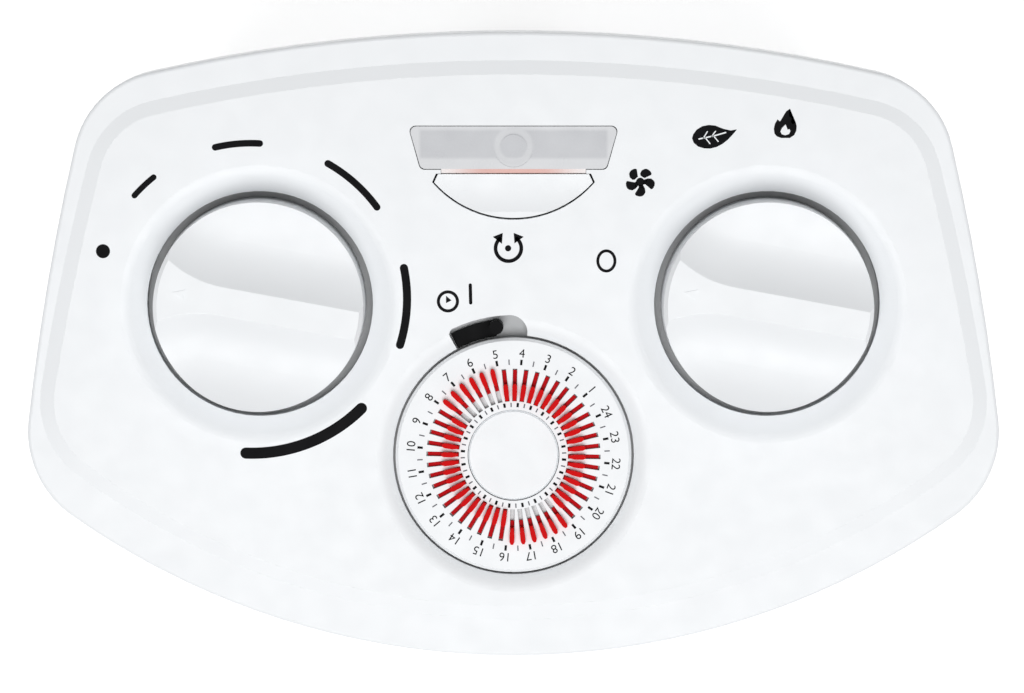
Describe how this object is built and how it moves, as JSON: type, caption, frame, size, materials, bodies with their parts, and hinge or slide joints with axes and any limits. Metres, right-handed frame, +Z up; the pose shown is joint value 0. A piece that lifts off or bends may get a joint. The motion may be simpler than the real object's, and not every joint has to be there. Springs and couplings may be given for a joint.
{
  "type": "bathroom heater",
  "caption": "Upright bathroom fan heater: bowed top panel with two grip knobs, a tappet timer dial, lever, lens and button, on an oscillating round base.",
  "frame": {"origin": "on the floor, on the swivel axis, under the middle of the panel", "axes": "+Z up, -Y towards the bowed front with the air outlet, +X to the user's right when the panel is read from the front"},
  "size_m": [0.25, 0.161, 0.3156],
  "materials": {
    "white_plastic": "glossy cool white moulding",
    "body_plastic": "glossy white moulding",
    "black_plastic": "black moulding",
    "red_plastic": "bright red moulding",
    "smoky_lens": "smoky translucent plastic",
    "red_light": "red translucent plastic",
    "grey_plastic": "heat resistant grey moulding",
    "steel": "zinc plated steel",
    "aluminium_fin": "bare aluminium",
    "brass_metal": "brass",
    "black_rubber": "soft rubber",
    "natural_plastic": "natural acetal"
  },
  "bodies": {
    "base": {"base_shell": "body_plastic", "base_plate": "grey_plastic", "rubber_feet": "black_rubber", "base_screws": "steel", "cable_gland": "black_rubber", "fixed_gear": "natural_plastic", "glide_ring": "natural_plastic", "hub_clip": "steel"},
    "housing": {"front_shell": "body_plastic", "rear_shell": "body_plastic", "floor_pan": "body_plastic", "control_panel": "white_plastic", "outlet_grille": "body_plastic", "heater_frame": "grey_plastic", "heater_bars": "aluminium_fin", "heater_fins": "aluminium_fin", "thermal_cutout": "steel", "fan_baffle": "grey_plastic", "fan_motor": "steel", "swivel_motor": "steel", "timer_case": "grey_plastic", "thermostat_unit": "grey_plastic", "selector_unit": "grey_plastic", "button_switch": "grey_plastic", "lamp_lens": "smoky_lens", "light_strip": "red_light", "pilot_lamp": "red_light", "terminal_block": "natural_plastic", "housing_screws": "steel"},
    "thermostat": {"thermostat_knob": "white_plastic", "thermostat_spindle": "brass_metal"},
    "selector": {"selector_knob": "white_plastic", "selector_spindle": "brass_metal"},
    "timer": {"timer_dial": "white_plastic", "dial_hub": "white_plastic", "idle_tappets": "red_plastic"},
    "lever": {"mode_lever": "black_plastic"},
    "button": {"swivel_button": "white_plastic"},
    "fan": {"impeller": "grey_plastic", "motor_shaft": "steel"},
    "pinion": {"drive_pinion": "natural_plastic"},
    "tappet_0500": {"tappet_0500": "red_plastic"},
    "tappet_0530": {"tappet_0530": "red_plastic"},
    "tappet_0600": {"tappet_0600": "red_plastic"},
    "tappet_0630": {"tappet_0630": "red_plastic"},
    "tappet_0700": {"tappet_0700": "red_plastic"},
    "tappet_0730": {"tappet_0730": "red_plastic"},
    "tappet_1600": {"tappet_1600": "red_plastic"},
    "tappet_1630": {"tappet_1630": "red_plastic"},
    "tappet_1700": {"tappet_1700": "red_plastic"},
    "tappet_1730": {"tappet_1730": "red_plastic"},
    "tappet_1800": {"tappet_1800": "red_plastic"},
    "tappet_1830": {"tappet_1830": "red_plastic"}
  },
  "joints": [
    {"name": "swivel", "type": "hinge", "parent": "base", "child": "housing", "pos_m": [0, 0, 0.034], "axis": [0, 0, 1], "range_deg": [-35, 35]},
    {"name": "pinion_turn", "type": "hinge", "parent": "housing", "child": "pinion", "pos_m": [0, 0.03375, 0.034], "axis": [0, 0, 1], "range_deg": [-105, 105]},
    {"name": "fan_turn", "type": "hinge", "parent": "housing", "child": "fan", "pos_m": [0, 0, 0.166], "axis": [0, 1, 0], "continuous": true},
    {"name": "thermostat_turn", "type": "hinge", "parent": "housing", "child": "thermostat", "pos_m": [-0.0651, 0.0107, 0.305], "axis": [0, 0, -1], "range_deg": [0, 265]},
    {"name": "selector_turn", "type": "hinge", "parent": "housing", "child": "selector", "pos_m": [0.0651, 0.0107, 0.305], "axis": [0, 0, -1], "range_deg": [0, 86]},
    {"name": "timer_turn", "type": "hinge", "parent": "housing", "child": "timer", "pos_m": [0, -0.0283, 0.305], "axis": [0, 0, -1], "continuous": true},
    {"name": "mode_slide", "type": "hinge", "parent": "housing", "child": "lever", "pos_m": [0, -0.0283, 0.305], "axis": [0, 0, -1], "range_deg": [0, 8.5]},
    {"name": "swivel_press", "type": "slide", "parent": "housing", "child": "button", "axis": [0, 0, -1], "range_m": [0, 0.003], "stiffness_N_per_m": 400},
    {"name": "tappet_0500_slide", "type": "slide", "parent": "timer", "child": "tappet_0500", "axis": [-0.2411, 0.9705, 0], "range_m": [-0.0044, 0]},
    {"name": "tappet_0530_slide", "type": "slide", "parent": "timer", "child": "tappet_0530", "axis": [-0.3657, 0.9307, 0], "range_m": [-0.0044, 0]},
    {"name": "tappet_0600_slide", "type": "slide", "parent": "timer", "child": "tappet_0600", "axis": [-0.484, 0.875, 0], "range_m": [-0.0044, 0]},
    {"name": "tappet_0630_slide", "type": "slide", "parent": "timer", "child": "tappet_0630", "axis": [-0.5941, 0.8044, 0], "range_m": [-0.0044, 0]},
    {"name": "tappet_0700_slide", "type": "slide", "parent": "timer", "child": "tappet_0700", "axis": [-0.694, 0.7199, 0], "range_m": [-0.0044, 0]},
    {"name": "tappet_0730_slide", "type": "slide", "parent": "timer", "child": "tappet_0730", "axis": [-0.7821, 0.6232, 0], "range_m": [-0.0044, 0]},
    {"name": "tappet_1600_slide", "type": "slide", "parent": "timer", "child": "tappet_1600", "axis": [-0.0183, -0.9998, 0], "range_m": [-0.0044, 0]},
    {"name": "tappet_1630_slide", "type": "slide", "parent": "timer", "child": "tappet_1630", "axis": [0.1123, -0.9937, 0], "range_m": [-0.0044, 0]},
    {"name": "tappet_1700_slide", "type": "slide", "parent": "timer", "child": "tappet_1700", "axis": [0.2411, -0.9705, 0], "range_m": [-0.0044, 0]},
    {"name": "tappet_1730_slide", "type": "slide", "parent": "timer", "child": "tappet_1730", "axis": [0.3657, -0.9307, 0], "range_m": [-0.0044, 0]},
    {"name": "tappet_1800_slide", "type": "slide", "parent": "timer", "child": "tappet_1800", "axis": [0.484, -0.875, 0], "range_m": [-0.0044, 0]},
    {"name": "tappet_1830_slide", "type": "slide", "parent": "timer", "child": "tappet_1830", "axis": [0.5941, -0.8044, 0], "range_m": [-0.0044, 0]}
  ],
  "couplings": [
    {"joint": "pinion_turn", "follows": "swivel", "ratio": 2.8571}
  ]
}
